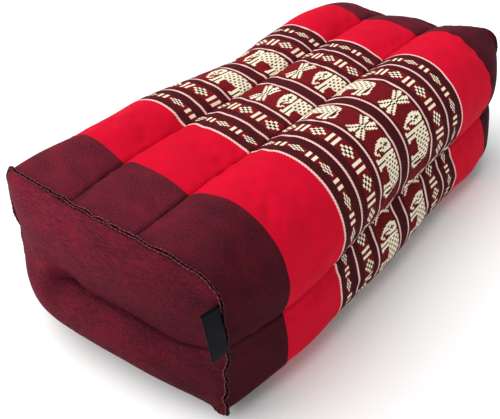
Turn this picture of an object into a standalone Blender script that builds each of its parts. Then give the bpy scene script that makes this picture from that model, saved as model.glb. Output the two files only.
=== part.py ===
"""A kapok yoga block: a striped wrap cloth sewn into filled channels over a firm filling.

Metres, +Z up. X runs along the block, with the near end at -X, and the label is on the -Y side.
The wrap meets a sewn-in panel at each end, and both raw edges stand up there as a ridge.
"""

from collections import namedtuple

import bpy
import numpy as np

# The block between its end seams
LENGTH = 0.3446
HALF_WIDTH = 0.0921
HEIGHT = 0.1163
TOP_RADIUS = 0.0537
BOTTOM_RADIUS = 0.0306
SETTLE = 0.0035
SWELL = 2.24

# Channel seams along the block: height of the side seams, distance of the others from the middle
SIDE_SEAM = 0.0542
LEFT_SEAM = 0.0276
RIGHT_SEAM = -0.0215

# How deep the stitching pulls each seam in, and how far the pull reaches along the cloth
SIDE_PULL = 0.0086
TOP_PULL = 0.0117
BOTTOM_PULL = 0.0060
PULL_AT_END = 0.0036
SIDE_PULL_AT_END = 0.0
PULL_REACH = 0.0222
BOTTOM_PULL_REACH = 0.0120

# The section at each end seam, how much higher it is on its -Y side, how far its channels' middles stand
# out and its seams draw in along the block, and the length over which the block fills out from there
End = namedtuple(
    "End", "side half_width low high low_radius high_radius seam_height left right tilt mound drawn fill_out"
)
NEAR = End(
    side=-1, half_width=0.0760, low=0.0108, high=0.1018, low_radius=0.0030, high_radius=0.0092,
    seam_height=0.0600, left=0.0254, right=-0.0208, tilt=0.0, mound=0.0004, drawn=0.0010, fill_out=0.0740,
)
FAR = End(
    side=1, half_width=0.0690, low=0.0102, high=0.0980, low_radius=0.0060, high_radius=0.0140,
    seam_height=0.0585, left=0.0280, right=-0.0202, tilt=0.0032, mound=0.0018, drawn=0.0036, fill_out=0.0437,
)
DRAWN_WIDTH = 0.0100
DRAWN_LENGTH = 0.0300
DRAWN_BELOW = 0.6
DRAWN_FADE = 6

# How far each end panel swells above and below its crease, and how the swelling leans towards +Y
Swelling = namedtuple("Swelling", "above below lean crease")
NEAR_SWELLING = Swelling(above=0.0100, below=0.0171, lean=0.34, crease=0.0055)
FAR_SWELLING = Swelling(above=0.0120, below=0.0120, lean=0.0, crease=0.0020)
CREASE_WIDTH = 0.0090
CREASE_START = 0.0450
CREASE_FULL = 0.0150
BLEND = 0.0120
FLAT_ACROSS = 3.4
FLAT_UPWARDS = 6.6

# The ridge of raw edges at each end seam
LIP_LENGTH = 0.0037
LIP_THICKNESS = 0.0011
CLEARANCE = 0.0004
WRAP_LIP_ROOT = 0.0007
PANEL_LIP_ROOT = 0.0002
PANEL_THICKNESS = 0.0016

# The label: its height range on the near seam, how far it stands out and where its fold points
LABEL_LOW = 0.0610
LABEL_HIGH = 0.0910
LABEL_REACH = 0.0090
LABEL_THICKNESS = 0.0012
LABEL_LOW_TURN = 3.0
LABEL_HIGH_TURN = 12.0
LABEL_ROOT = 0.0012

# Mesh steps
ARC_POINTS = 24
CHANNEL_STEPS = (14, 8, 14, 14, 8, 14)
NEAR_STATIONS = (0.004, 0.009, 0.016, 0.026, 0.040, 0.057, 0.080)
FAR_STATIONS = (0.004, 0.009, 0.016, 0.025, 0.036, 0.055, 0.080)
MIDDLE_STATIONS = (-0.050, 0.0, 0.050)
CAP_SHARES = (0.955, 0.83, 0.60, 0.30)
LABEL_ROWS = 5
FOLD_STEPS = 6

Cut = namedtuple("Cut", "full half low high low_radius high_radius seam_height left right tilt")


def mix(a, b, share):
    return a + (b - a) * share


def smooth(value, start, stop):
    """Rises softly from 0 at start to 1 at stop."""
    share = np.clip((value - start) / (stop - start), 0, 1)
    return share * share * (3 - 2 * share)


def unit(vectors):
    return vectors / np.linalg.norm(vectors, axis=-1, keepdims=True)


def cut_at(x):
    """The plain section at x, before the seams pull it in; full runs from 0 at a seam to 1."""
    end = FAR if x > 0 else NEAR
    gap = LENGTH / 2 - abs(x)
    full = 1 - (1 - min(gap / end.fill_out, 1)) ** SWELL
    return Cut(
        full=full,
        half=mix(end.half_width, HALF_WIDTH, full),
        low=mix(end.low, -SETTLE, full),
        high=mix(end.high, HEIGHT, full),
        low_radius=mix(end.low_radius, BOTTOM_RADIUS, full),
        high_radius=mix(end.high_radius, TOP_RADIUS, full),
        seam_height=mix(end.seam_height, SIDE_SEAM, full),
        left=mix(end.left, LEFT_SEAM, full),
        right=mix(end.right, RIGHT_SEAM, full),
        tilt=mix(end.tilt, 0, full),
    )


def plain_loop(cut):
    """The section as a closed (y, z) loop from the +Y side over the top, and the length run at each point."""
    corners = (
        (cut.half - cut.high_radius, cut.high - cut.high_radius, cut.high_radius, 0),
        (cut.high_radius - cut.half, cut.high - cut.high_radius, cut.high_radius, 90),
        (cut.low_radius - cut.half, cut.low + cut.low_radius, cut.low_radius, 180),
        (cut.half - cut.low_radius, cut.low + cut.low_radius, cut.low_radius, 270),
    )
    arcs = []
    for y, z, radius, start in corners:
        angle = np.radians(start + np.linspace(0, 90, ARC_POINTS))
        arcs.append(np.column_stack([y + radius * np.cos(angle), z + radius * np.sin(angle)]))
    loop = np.vstack(arcs + [arcs[0][:1]])
    run = np.concatenate([[0], np.cumsum(np.linalg.norm(np.diff(loop, axis=0), axis=1))])
    return loop, run


def seam_runs(cut, run):
    """Where the six seams lie on the loop, the +Y side seam first and again at the end."""
    top = run[ARC_POINTS - 1] + cut.half - cut.high_radius
    bottom = run[3 * ARC_POINTS - 1] + cut.half - cut.low_radius
    left_side = cut.seam_height - (cut.high - cut.high_radius)
    right_side = run[2 * ARC_POINTS - 1] + cut.high - cut.high_radius - cut.seam_height
    runs = [left_side, top - cut.left, top - cut.right, right_side, bottom + cut.right, bottom + cut.left]
    return runs + [left_side + run[-1]]


def pulls(full):
    """How deep each of those seams is pulled in."""
    side = mix(SIDE_PULL_AT_END, SIDE_PULL, full)
    top = mix(PULL_AT_END, TOP_PULL, full)
    bottom = mix(PULL_AT_END, BOTTOM_PULL, full)
    return [side, top, top, side, bottom, bottom, side]


def on_loop(loop, run, at):
    at = np.mod(at, run[-1])
    return np.column_stack([np.interp(at, run, loop[:, 0]), np.interp(at, run, loop[:, 1])])


def inward(loop, run, at):
    """The direction into the filling at each point of the loop."""
    small = 0.0004
    ahead = on_loop(loop, run, at + small) - on_loop(loop, run, at - small)
    return unit(np.column_stack([-ahead[:, 1], ahead[:, 0]]))


def drawn_in(x, channel, from_first, from_last):
    """How far points of a channel stand out along the block at an end: its middle most, its seams least."""
    end = FAR if x > 0 else NEAR
    hold = max(1 - (LENGTH / 2 - abs(x)) / DRAWN_LENGTH, 0) ** 2
    middle = np.sin(np.pi * from_first / (from_first + from_last))
    seams = np.exp(-from_first / DRAWN_WIDTH) + np.exp(-from_last / DRAWN_WIDTH)
    below = DRAWN_BELOW if channel > 2 else 1.0
    return end.side * hold * below * (end.mound * middle - end.drawn * seams)


def section(x):
    """One ring of the wrap near x: six filled channels between their seams, flat where it lies on the floor."""
    cut = cut_at(x)
    loop, run = plain_loop(cut)
    seams = seam_runs(cut, run)
    depth = pulls(cut.full)
    reach = [PULL_REACH] * 4 + [BOTTOM_PULL_REACH] * 2 + [PULL_REACH]
    points = []
    for channel, steps in enumerate(CHANNEL_STEPS):
        first, last = seams[channel], seams[channel + 1]
        even = np.arange(steps) / steps
        gathered = (1 - np.cos(np.pi * even)) / 2
        at = first + (last - first) * mix(even, gathered, 0.5)
        pull = depth[channel] * np.exp((first - at) / reach[channel])
        pull += depth[channel + 1] * np.exp((at - last) / reach[channel + 1])
        y, z = (on_loop(loop, run, at) + inward(loop, run, at) * pull[:, None]).T
        upper = np.clip((z - cut.seam_height) / (cut.high - cut.seam_height), 0, 1)
        z = np.maximum(z - cut.tilt * upper * y / cut.half, 0)
        points.append(np.column_stack([x + drawn_in(x, channel, at - first, last - at), y, z]))
    return np.vstack(points)


def rim_of(end):
    """The end seam's ring, with its outward direction in the section and the way out along the block."""
    rim = section(end.side * LENGTH / 2)
    ahead = np.roll(rim, -1, axis=0) - np.roll(rim, 1, axis=0)
    outward = unit(np.column_stack([np.zeros(len(rim)), ahead[:, 2], -ahead[:, 1]]))
    along = np.array([end.side, 0.0, 0.0])
    return rim, outward, along


def face_ring(end, swelling, share):
    """One ring of the swollen end face: the rim drawn in to a share of its size."""
    rim = rim_of(end)[0]
    y = rim[:, 1] * share
    up = (rim[:, 2] - end.seam_height) * share
    reach = np.where(up > 0, end.high - end.seam_height, end.seam_height - end.low)
    across = np.clip(np.abs(y) / end.half_width, 0, 1)
    dome = (1 - across**FLAT_ACROSS) * (1 - np.clip(np.abs(up) / reach, 0, 1) ** FLAT_UPWARDS)
    lean = 1 + swelling.lean * y / end.half_width
    swell = mix(swelling.below, swelling.above, smooth(up, -BLEND, BLEND)) * lean
    creased = smooth(y, CREASE_START, CREASE_FULL)
    crease = swelling.crease * creased * np.exp(-np.abs(up) / CREASE_WIDTH)
    drawn = (rim[:, 0] - end.side * LENGTH / 2) * share**DRAWN_FADE
    x = end.side * (LENGTH / 2 + (swell - crease) * dome) + drawn
    return np.column_stack([x, y, end.seam_height + up])


def face_rings(end, swelling, offset):
    """The end face from its rim inwards to its middle point, moved out by offset along its normals."""
    shares = (1.0,) + CAP_SHARES + (0.0,)
    rings = np.array([face_ring(end, swelling, share) for share in shares])
    inwards = rings[2:] - rings[:-2]
    around = np.roll(rings, -1, axis=1)[1:-1] - np.roll(rings, 1, axis=1)[1:-1]
    normal = unit(np.cross(around, inwards))
    normal *= np.sign(normal[..., :1] * end.side)
    middle = rings[-1][:1] + [[end.side * offset, 0, 0]]
    return list(rings[1:-1] + normal * offset) + [middle]


def lip_rings(end, near_side, far_side, root):
    """A raw edge from its root out to its tip and back, between two distances from the seam's middle."""
    rim, outward, along = rim_of(end)
    stand = unit(outward + along)
    aside = unit(outward - along)
    base = rim + aside * near_side - stand * root
    tip = rim + stand * LIP_LENGTH
    return [base, tip + aside * near_side, tip + aside * far_side, rim + aside * far_side]


def wrap_end(end, swelling):
    """The filled end of the cushion from the middle of its face out to the wrap's raw edge."""
    inner = CLEARANCE / 2
    lip = lip_rings(end, inner, inner + LIP_THICKNESS, WRAP_LIP_ROOT)
    return face_rings(end, swelling, -CLEARANCE)[::-1] + lip


def closed_body(rings):
    """Points and triangles of a closed skin over rings; the first and the last ring are single points."""
    points = np.vstack(rings)
    around = len(rings[1])
    start = 1
    faces = []
    for step in range(around):
        faces.append((0, start + (step + 1) % around, start + step))
    for _ in rings[2:-1]:
        for step in range(around):
            after = (step + 1) % around
            faces.append((start + step, start + after, start + around + after))
            faces.append((start + step, start + around + after, start + around + step))
        start += around
    for step in range(around):
        faces.append((len(points) - 1, start + step, start + (step + 1) % around))
    return points, faces


def volume(points, faces):
    first, second, third = points[np.array(faces)].transpose(1, 0, 2)
    return np.sum(first * np.cross(second, third)) / 6


def cloth(name, colour, roughness):
    material = bpy.data.materials.new(name)
    material.use_nodes = True
    shader = material.node_tree.nodes["Principled BSDF"]
    shader.inputs["Base Color"].default_value = (*colour, 1.0)
    shader.inputs["Roughness"].default_value = roughness
    shader.inputs["Metallic"].default_value = 0.0
    return material


def add(name, rings, material):
    """One smooth closed object with its faces turned outwards."""
    points, faces = closed_body(rings)
    if volume(points, faces) < 0:
        faces = [face[::-1] for face in faces]
    mesh = bpy.data.meshes.new(name)
    mesh.from_pydata([tuple(point) for point in points], [], faces)
    mesh.polygons.foreach_set("use_smooth", [True] * len(mesh.polygons))
    mesh.materials.append(material)
    mesh.update()
    thing = bpy.data.objects.new(name, mesh)
    bpy.context.scene.collection.objects.link(thing)
    return thing


def make_cushion():
    """The wrap over its filling, as one solid from face to face."""
    near = [section(-LENGTH / 2 + gap) for gap in NEAR_STATIONS]
    middle = [section(x) for x in MIDDLE_STATIONS]
    far = [section(LENGTH / 2 - gap) for gap in FAR_STATIONS[::-1]]
    rings = wrap_end(NEAR, NEAR_SWELLING) + near + middle + far + wrap_end(FAR, FAR_SWELLING)[::-1]
    return add("cushion", rings, cloth("wrap cloth", (0.62, 0.02, 0.04), 0.85))


def make_panel(name, end, swelling):
    """A sewn-in end panel: its inner face, its raw edge and its outer face."""
    inner = CLEARANCE / 2
    inside = face_rings(end, swelling, 0.0)[::-1]
    outside = face_rings(end, swelling, PANEL_THICKNESS)
    lip = lip_rings(end, -inner, -inner - LIP_THICKNESS, PANEL_LIP_ROOT)
    rings = inside + lip + outside
    return add(name, rings[:: -end.side], cloth(name + " cloth", (0.12, 0.02, 0.04), 0.80))


def label_root(z):
    """The line on the near panel's raw edge that the label grows from, at height z."""
    rim, outward, along = rim_of(NEAR)
    side = (rim[:, 1] < 0) & (outward[:, 1] < -0.7)
    order = np.argsort(rim[side, 2])
    x, y = (np.interp(z, rim[side, 2][order], rim[side, axis][order]) for axis in (0, 1))
    stand = unit(np.array([-1.0, -1.0, 0.0]))
    aside = unit(np.array([-1.0, 1.0, 0.0]))
    out = CLEARANCE / 2 + LIP_THICKNESS + CLEARANCE + LABEL_THICKNESS / 2
    return np.array([x, y, z]) + aside * out + stand * LABEL_ROOT


def label_ring(share):
    """One level of the folded label, from its root round the fold and back."""
    root = label_root(mix(LABEL_LOW, LABEL_HIGH, share))
    turn = np.radians(mix(LABEL_LOW_TURN, LABEL_HIGH_TURN, share))
    ahead = np.array([-np.cos(turn), np.sin(turn), 0.0])
    across = np.array([-np.sin(turn), -np.cos(turn), 0.0])
    half = LABEL_THICKNESS / 2
    angles = np.radians(np.linspace(90, -90, FOLD_STEPS))
    fold = [root + ahead * (LABEL_REACH - half + half * np.cos(a)) + across * half * np.sin(a) for a in angles]
    return np.array([root + across * half] + fold + [root - across * half])


def make_label():
    rows = [label_ring(share) for share in np.linspace(0, 1, LABEL_ROWS)]
    bottom = rows[0].mean(axis=0, keepdims=True)
    top = rows[-1].mean(axis=0, keepdims=True)
    return add("label", [bottom] + rows + [top], cloth("label tape", (0.01, 0.01, 0.012), 0.45))


def stand_centred(things):
    """Moves the block so that it stands on z = 0 with its outside centred on the Z axis."""
    points = np.array([vertex.co for thing in things for vertex in thing.data.vertices])
    low, high = points.min(axis=0), points.max(axis=0)
    shift = np.array([-(low[0] + high[0]) / 2, -(low[1] + high[1]) / 2, -low[2]])
    for thing in things:
        for vertex in thing.data.vertices:
            vertex.co = tuple(np.array(vertex.co) + shift)


def main():
    for thing in list(bpy.data.objects):
        bpy.data.objects.remove(thing, do_unlink=True)
    stand_centred([
        make_cushion(),
        make_panel("end_panel_near", NEAR, NEAR_SWELLING),
        make_panel("end_panel_far", FAR, FAR_SWELLING),
        make_label(),
    ])


main()
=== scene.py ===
"""Looks of the kapok yoga block: six filled tubes of one striped cloth, two end panels and a bare label.

Metres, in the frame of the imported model. X runs along the block, and the cloth runs round its section.
"""

from collections import namedtuple

import bpy
import numpy as np
from mathutils import Matrix, Vector


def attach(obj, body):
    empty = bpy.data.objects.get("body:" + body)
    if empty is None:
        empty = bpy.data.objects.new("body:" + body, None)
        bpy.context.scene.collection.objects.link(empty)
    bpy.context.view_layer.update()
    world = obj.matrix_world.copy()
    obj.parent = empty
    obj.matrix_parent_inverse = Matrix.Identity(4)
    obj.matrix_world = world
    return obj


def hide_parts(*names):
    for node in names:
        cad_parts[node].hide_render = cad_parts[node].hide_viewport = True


# Plain sections of the block before it was centred, and how far their seams are pulled in
LENGTH = 0.3446
CENTRED = np.array([0.003124, 0.000083, 0.0])
Section = namedtuple(
    "Section", "half low high low_radius high_radius seam_height left right tilt top side bottom"
)
MIDDLE = Section(
    half=0.0921, low=-0.0035, high=0.1163, low_radius=0.0306, high_radius=0.0537, seam_height=0.0542,
    left=0.0276, right=-0.0215, tilt=0, top=0.0117, side=0.0086, bottom=0.0060,
)
NEAR_SECTION = Section(
    half=0.0760, low=0.0108, high=0.1018, low_radius=0.0030, high_radius=0.0092, seam_height=0.0600,
    left=0.0254, right=-0.0208, tilt=0.0, top=0.0016, side=-0.0016, bottom=0.0016,
)
FAR_SECTION = Section(
    half=0.0690, low=0.0102, high=0.0990, low_radius=0.0060, high_radius=0.0140, seam_height=0.0585,
    left=0.0280, right=-0.0202, tilt=0.0036, top=0.0044, side=0.0, bottom=0.0044,
)
SWELL = 2.24

# How deep the seams and their stitches draw the cloth in, and the painted shade on the picks beside each
# seam
PULL_REACH = 0.0222
BOTTOM_PULL_REACH = 0.0120
SEAM_BLEND = 0.0060
STITCH_PULL = 0.0012
STITCH_REACH = 0.0018
STITCH_AT_END = 0.4
STITCH_FULL = 0.015
# Painted shade in the seam grooves: the first three picks beside each seam are darkened, most at the seam
SEAM_PAINTED_SHADE = {"maroon": 0.62, "red": 0.90}
SEAM_PAINTED_SHADE_FADE = (1.0, 0.6, 0.35)

# Both ends: how the cloth is drawn in at its seams there, and how the faces swell round their crease
Swelling = namedtuple("Swelling", "above below lean crease sag dent")
End = namedtuple("End", "name side seed section swelling mound drawn fill_out")
NEAR = End(
    name="near", side=-1, seed=70, section=NEAR_SECTION, mound=0.0004, drawn=0.0010, fill_out=0.0740,
    swelling=Swelling(above=0.0104, below=0.0168, lean=0.34, crease=0.0096, sag=0.0105, dent=0.0045),
)
FAR = End(
    name="far", side=1, seed=80, section=FAR_SECTION, mound=0.0018, drawn=0.0036, fill_out=0.0437,
    swelling=Swelling(above=0.0120, below=0.0120, lean=0.0, crease=0.0020, sag=0.0, dent=0.0),
)
DRAWN_WIDTH = 0.0100
DRAWN_LENGTH = 0.0300
DRAWN_BELOW = 0.6
DRAWN_FADE = 6
CREASE_ABOVE = 0.0095
CREASE_BELOW = 0.0050
CREASE_START = 0.0420
CREASE_FULL = 0.0220
SAG_ASIDE = 0.35
SAG_ASIDE_BETWEEN = (-0.010, -0.070)
SAG_START = -0.076
SAG_FULL = -0.042
DENT_AT = 0.031
DENT_WIDTH = 0.009
EASE_ROUNDS = 40
EASE_START = 0.92
BLEND = 0.0120
FLAT_ACROSS = 3.4
FLAT_UPWARDS = 6.6

# The waist that the block has half-way along
WAIST = 0.0016
WAIST_START = 0.100
WAIST_FULL = 0.020

# Lumps and hollows in the filling, at a place along the block and a share across a channel
Bulge = namedtuple("Bulge", "channel at share length width height")
BULGES = (
    Bulge(channel=0, at=-0.156, share=0.48, length=0.012, width=0.22, height=0.0020),
    Bulge(channel=0, at=-0.172, share=0.17, length=0.012, width=0.10, height=0.0012),
    Bulge(channel=0, at=-0.079, share=0.55, length=0.014, width=0.25, height=0.0015),
    Bulge(channel=0, at=0.011, share=0.57, length=0.021, width=0.28, height=-0.0038),
    Bulge(channel=0, at=0.106, share=0.54, length=0.016, width=0.25, height=0.0021),
    Bulge(channel=1, at=0.163, share=0.62, length=0.011, width=0.16, height=0.0012),
    Bulge(channel=2, at=0.168, share=0.26, length=0.012, width=0.22, height=0.0009),
    Bulge(channel=2, at=0.146, share=0.84, length=0.018, width=0.14, height=-0.0019),
    Bulge(channel=2, at=-0.172, share=0.57, length=0.020, width=0.11, height=-0.0026),
    Bulge(channel=3, at=0.110, share=0.37, length=0.013, width=0.22, height=0.0017),
    Bulge(channel=3, at=-0.018, share=0.37, length=0.036, width=0.24, height=0.0027),
    Bulge(channel=3, at=-0.082, share=0.36, length=0.020, width=0.24, height=-0.0017),
    Bulge(channel=3, at=-0.133, share=0.38, length=0.022, width=0.22, height=-0.0023),
)
BULGE_FROM_SEAM = 0.0060

# The cloth repeats every sixty picks, or three pitches of its bars, and each tube starts somewhere in it
PITCH = 0.02052
PICKS = 60
PICK = 3 * PITCH / PICKS
CHART_START = 2 * PITCH - 2 * PICK
LEAST_PICK = 0.3
Tube = namedtuple("Tube", "name cloth_start")
TUBES = (
    Tube("tube_top_left", -0.0690),
    Tube("tube_top_middle", 0.0269),
    Tube("tube_top_right", 0.0651),
    Tube("tube_low_right", 0.1720),
    Tube("tube_low_middle", -0.2310),
    Tube("tube_low_left", -0.1816),
)
FIRST_LOW_TUBE = 3

# Stripes across the cloth, from the near end to the far end
DARK_TO_RED = -0.1328
RED_TO_DARK = 0.1274
LINE_WIDTH = 0.0017
Band = namedtuple("Band", "kind line_before line_after threads")
BANDS = (
    Band("small", -0.0831, -0.0641, 18),
    Band("large", -0.0641, -0.0411, 24),
    Band("elephant", -0.0411, -0.0136, 26),
    Band("plain", -0.0136, -0.0028, 8),
    Band("elephant", -0.0028, 0.0280, 26),
    Band("large", 0.0280, 0.0517, 24),
    Band("small", 0.0517, 0.0717, 18),
)

# How far the patterned bands' near and far edges wander at runs of cloth from the +Y side seam
Wander = namedtuple("Wander", "run near far")
WANDERS = (
    Wander(0.000, 0.002, 0.002),
    Wander(0.073, 0.002, 0.003),
    Wander(0.093, 0.0020, 0.0062),
    Wander(0.1015, 0.0040, 0.0075),
    Wander(0.112, 0.0006, 0.0040),
    Wander(0.127, 0.0000, 0.0027),
    Wander(0.146, 0.0006, 0.0020),
    Wander(0.153, 0.0026, 0.0042),
    Wander(0.162, 0.0003, 0.0045),
    Wander(0.200, 0.0004, 0.0000),
    Wander(0.235, -0.0008, 0.0000),
    Wander(0.2600, -0.0002, -0.0012),
    Wander(0.278, 0.0006, 0.0040),
    Wander(0.300, 0.0000, 0.0040),
    Wander(0.540, 0.0020, 0.0020),
)

# Painted light and shade on the two-coloured yarn at runs of cloth from the +Y side seam: painted lighter
# and redder where the cloth turns to the light, darker where it turns away
PaintedLightTurn = namedtuple("PaintedLightTurn", "run light")
PAINTED_LIGHT_TURNS = (
    PaintedLightTurn(0.00, 0.50),
    PaintedLightTurn(0.035, 1.10),
    PaintedLightTurn(0.05, 1.20),
    PaintedLightTurn(0.10, 1.05),
    PaintedLightTurn(0.15, 1.00),
    PaintedLightTurn(0.19, 0.62),
    PaintedLightTurn(0.24, 0.44),
    PaintedLightTurn(0.48, 0.44),
    PaintedLightTurn(0.58, 0.50),
)

# Mesh steps
ARC_POINTS = 40
STATION_STEP = 0.0012
PLAIN_STEP = 0.0016
LINE_POINTS = 241
MEASURED_POINTS = 400

# Seeded waves: how each differs from the seed of its piece, its length and its height
Waves = namedtuple("Waves", "seed length height")
WAVE_SPREAD = (0.7, 1.5)
RIPPLE_HEIGHT = 1.6
TUBE_SEED = 10
PANEL_SEED = 3

# Small gathers beside a tube's seams and soft lumps, which leave the resting face flat
GATHERS = Waves(seed=0, length=0.011, height=0.00045)
GATHER_STRETCH = 0.35
GATHER_START = 0.0015
GATHER_REACH = 0.0055
LUMPS = Waves(seed=50, length=0.070, height=0.0006)
LUMPS_FROM_SEAM = 0.012
LUMPS_FROM_END = 0.02
RESTING_BELOW = 0.0005
FREE_ABOVE = 0.012

# The raw edges along the end seams: rows from the seam up to the tip and down inside
LipRow = namedtuple("LipRow", "up aside")
LIP_STEP = 0.0005
LIP = (
    LipRow(-0.0006, -0.0001),
    LipRow(0.0008, -0.0002),
    LipRow(0.0018, -0.0002),
    LipRow(0.0025, -0.0004),
    LipRow(0.0029, -0.0007),
    LipRow(0.0026, -0.0010),
    LipRow(0.0016, -0.0008),
    LipRow(0.0008, -0.0006),
)
LEAN_TOGETHER = Waves(seed=5, length=0.012, height=0.0005)
LEAN_AT_CORNER = 2.6
LEAN_LOW = Waves(seed=10, length=0.010, height=0.0010)
LEAN_LOW_BETWEEN = (0.055, 0.045)
LEAN_APART = Waves(seed=0, length=0.011, height=0.0002)
FLUTTER = Waves(seed=2, length=0.0036, height=0.00022)
UNEVEN = Waves(seed=1, length=0.012, height=0.15)
SPLAY = 1.2
EDGE_DIP = 0.08
EDGE_LOW = 0.35
EDGE_LEFT_DOWN = (0.4, 0.072, 0.088)
EDGE_FAR = 0.6
EDGE_FAR_CORNER = 0.8

# Zones of an end seam, each full beyond a place across the block and a height
Zone = namedtuple("Zone", "across full_across up full_up")
CORNER = Zone(across=-0.068, full_across=-0.075, up=0.066, full_up=0.050)
SPLAYED = Zone(across=-0.068, full_across=-0.075, up=0.075, full_up=0.060)
TOP_LEFT = Zone(across=0.055, full_across=0.070, up=0.106, full_up=0.098)
UNDERNEATH = Zone(across=-0.0745, full_across=-0.064, up=0.024, full_up=0.014)
FAR_CORNER = Zone(across=-0.050, full_across=-0.064, up=0.078, full_up=0.090)

# Rings of a panel as shares of its rim, and how far it stands out beside the raw edge
PANEL_SHARES = np.concatenate([np.linspace(1, 0.9, 9), np.linspace(0.9, 0.04, 44)[1:]])
PANEL_STAND = 0.0016
PANEL_STAND_FULL = 0.02

# The folded label: its heights on the corner seam, how it is turned and how far it reaches
LABEL_TUBE = 2
LABEL_LOW = 0.0625
LABEL_HIGH = 0.0903
LABEL_RISE = 0.0015
LABEL_REACH = 0.0094
LABEL_LOW_TURN = 1.0
LABEL_HIGH_TURN = 3.0
LABEL_FORWARD = 0.0036
LABEL_LOW_ASIDE = 0.0022
LABEL_HIGH_ASIDE = 0.0007
LABEL_IN_SEAM = 0.0042
LABEL_LAYER = 0.0004
LABEL_FOLD = 0.0005
LABEL_FOLD_ANGLES = (60, 20, -20, -60)
LABEL_ROWS = 24
LABEL_STEPS = 14
LABEL_RIM_POINTS = 60

# The coarse body whose cloth is simulated
SIM_STEPS = (20, 10, 21, 22, 10, 21)
SIM_STATIONS = np.linspace(-LENGTH / 2, LENGTH / 2, 71)
SIM_SHARES = (1.0, 0.97, 0.93, 0.88, 0.81, 0.73, 0.64, 0.54, 0.43, 0.31, 0.19, 0.08)
SIM_SLACK = 0.002
SIM_PRESSURE = 4.0
SIM_FRAMES = 20
SIM_MOST = 0.0025
FLOOR_HOLD = 0.0015
CREASE_HOLD = 0.0060

CLOTH_SETTINGS = {
    "vertex_group_mass": "held", "quality": 6, "mass": 0.25, "tension_stiffness": 20,
    "compression_stiffness": 20, "shear_stiffness": 8, "bending_stiffness": 0.3, "shrink_min": -SIM_SLACK,
    "use_pressure": True, "uniform_pressure_force": SIM_PRESSURE,
}

# Hidden walls between the tubes, and how deep the tubes' ends and the panels' backs lie
WALL_SHARE = 0.55
WALL_ASIDE = 0.08
WALL_LENGTH = 0.88
TUBE_END_DEPTH = 0.026
PANEL_BACK_DEPTH = 0.018

# Woven figures: # is cream, o its dark outline and a dot the ground; each column is a pick
ELEPHANT = (
    "..#####..##.###.###.###..........",
    "..######.##.###.###.###.###......",
    ".###o###o####o###o###o###o###....",
    ".###o###o####o###o###o###o####...",
    "###ooo##o##o###o###o###o###o##...",
    "####o###o##o###o###o###o###o###..",
    "####o###o####o###o###o###o###o#..",
    "##o##o##o####o###o###o###o###o#..",
    "##o##o##o##o###o###o###o###o#o#..",
    "####o##.o##o###o###o###o###o#o#..",
    ".###o##..####o###o###o###o###o.#.",
    ".###o#...####o###o###o###o###o.#.",
    ".###.#...##o###.###.###.###o#o.#.",
    "..##.....##o##..........##o##o.#.",
    "..##.....##o##..........##o##o.##",
    "...#..##.##o##..........##o##o.##",
    "...##.#..##o##..........##o##o.##",
    "....###..##o##..........##o##o###",
    "....##...##o##..........##o##o##.",
    "........###o###........###o###...",
    "........###o###........###o###...",
)
CROSS_HALF = (
    "...##...##...",
    "..###...###..",
    "#.o###.###o.#",
    "##o###.###o##",
    ".##o##o##o##.",
    ".##o##o##o##.",
    "..##o#o#o##..",
    "..##o#o#o##..",
    "...##o#o##...",
    "...##o#o##...",
    "....#o#o#....",
    "....o###o....",
)
CROSS = CROSS_HALF + CROSS_HALF[-2::-1]
SMALL_LOZENGE = (
    "....##....",
    "..##oo##..",
    "##oo##oo##",
    "..##oo##..",
    "....##....",
)
LARGE_LOZENGE = tuple(line for line in SMALL_LOZENGE for _ in range(2))

# Where the figures start in the repeat and in their bands, counted in picks and in threads
BARS_AT = (19, 0, 3, 4)
LOZENGE_AT = 7
CROSS_AT = 0
ELEPHANT_AT = 18
SMALL_LOZENGE_LOW = 6
LARGE_LOZENGE_LOW = 7
CROSS_LOW = 2
ELEPHANT_LOW = 3
BRICK_THREADS = {"small": range(6, 11), "large": range(6, 18), "elephant": range(2, 24)}

# Colours as light values
CREAM = (1.0, 0.87, 0.66)
PINK = (0.95, 0.40, 0.40)
PALE_PINK = (1.0, 0.74, 0.66)
BRICK = (0.190, 0.0085, 0.0125)
GROUND = (0.070, 0.0085, 0.0115)
OUTLINE = (0.020, 0.006, 0.005)
RED = (0.68, 0.003, 0.026)
MAROON = (0.107, 0.0108, 0.0212)
PANEL = (0.124, 0.0108, 0.0238)
INSIDE = (0.060, 0.006, 0.012)
LABEL_DARK = (0.002, 0.002, 0.003)
LABEL_LIGHT = (0.006, 0.006, 0.010)
WHITE = (1.0, 1.0, 1.0, 1.0)
BLACK = (0.0, 0.0, 0.0)
FLOOR_GREY = (0.92, 0.92, 0.92, 1.0)

# The colour of plain cells and of marks, and how much two-coloured yarn shows in cells
PLAIN_CELLS = {"maroon": (MAROON, 1.0), "red": (RED, 0.0), "plain": (GROUND, 0.6)}
MARKS = {"#": CREAM, "o": OUTLINE}
FIGURE_SHOT = 0.5

# The raw edge's painted light and shade row by row, its inner and outer walls painted darker as shade than
# its tip, with thread over its tip and a stitch on every third step
RAW_EDGE_PAINTED_LIGHT = (0.60, 0.60, 0.60, 1.00, 0.80, 0.55, 0.60)
EDGE_TIP = (3, 4)
EDGE_THREAD = (0.135, 0.042, 0.052)
EDGE_STITCH = 1.55
EDGE_BETWEEN = 0.75
EDGE_EVERY = 3

# Painted shade on the panels: darker towards the -Y side, downwards, in their crease and in the pocket where
# it starts
Shading = namedtuple("Shading", "start stop dark light")
ACROSS_SHADING = Shading(start=-0.075, stop=0.055, dark=0.54, light=1.02)
UPWARD_SHADING = Shading(start=0.020, stop=0.095, dark=0.86, light=1.08)
CREASE_SHADE = 65
CREASE_SHADE_WIDTH = 0.0009
POCKET_SHADE = 0.5

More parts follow.
